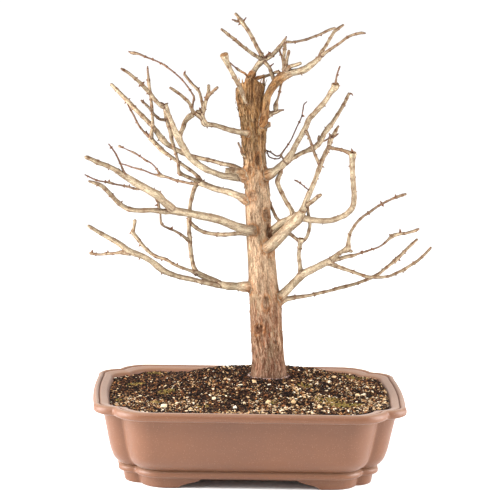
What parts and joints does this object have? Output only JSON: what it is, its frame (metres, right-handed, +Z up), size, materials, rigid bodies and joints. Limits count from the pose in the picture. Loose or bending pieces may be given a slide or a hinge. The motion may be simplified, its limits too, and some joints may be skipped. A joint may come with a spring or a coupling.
{
  "type": "dawn redwood bonsai",
  "caption": "Bonsai of a dawn redwood in winter: tapering trunk with a chopped top and bare budded limbs, in a rectangular stoneware pot with indented corners and bracket feet",
  "frame": {"origin": "middle of the bounding box of pot and tree together, on the surface that the pot's feet stand on", "axes": "+Z up, -Y the front that the picture shows, X along the pot's long side"},
  "size_m": [0.443, 0.308, 0.5978],
  "materials": {
    "pot": "satin unglazed stoneware",
    "screen": "satin",
    "soil": "damp grit and moss",
    "tree": "dry fibrous bark"
  },
  "bodies": {
    "root": {"pot": "pot", "drain_screen_left": "screen", "drain_screen_right": "screen", "soil": "soil", "tree": "tree"}
  },
  "joints": []
}
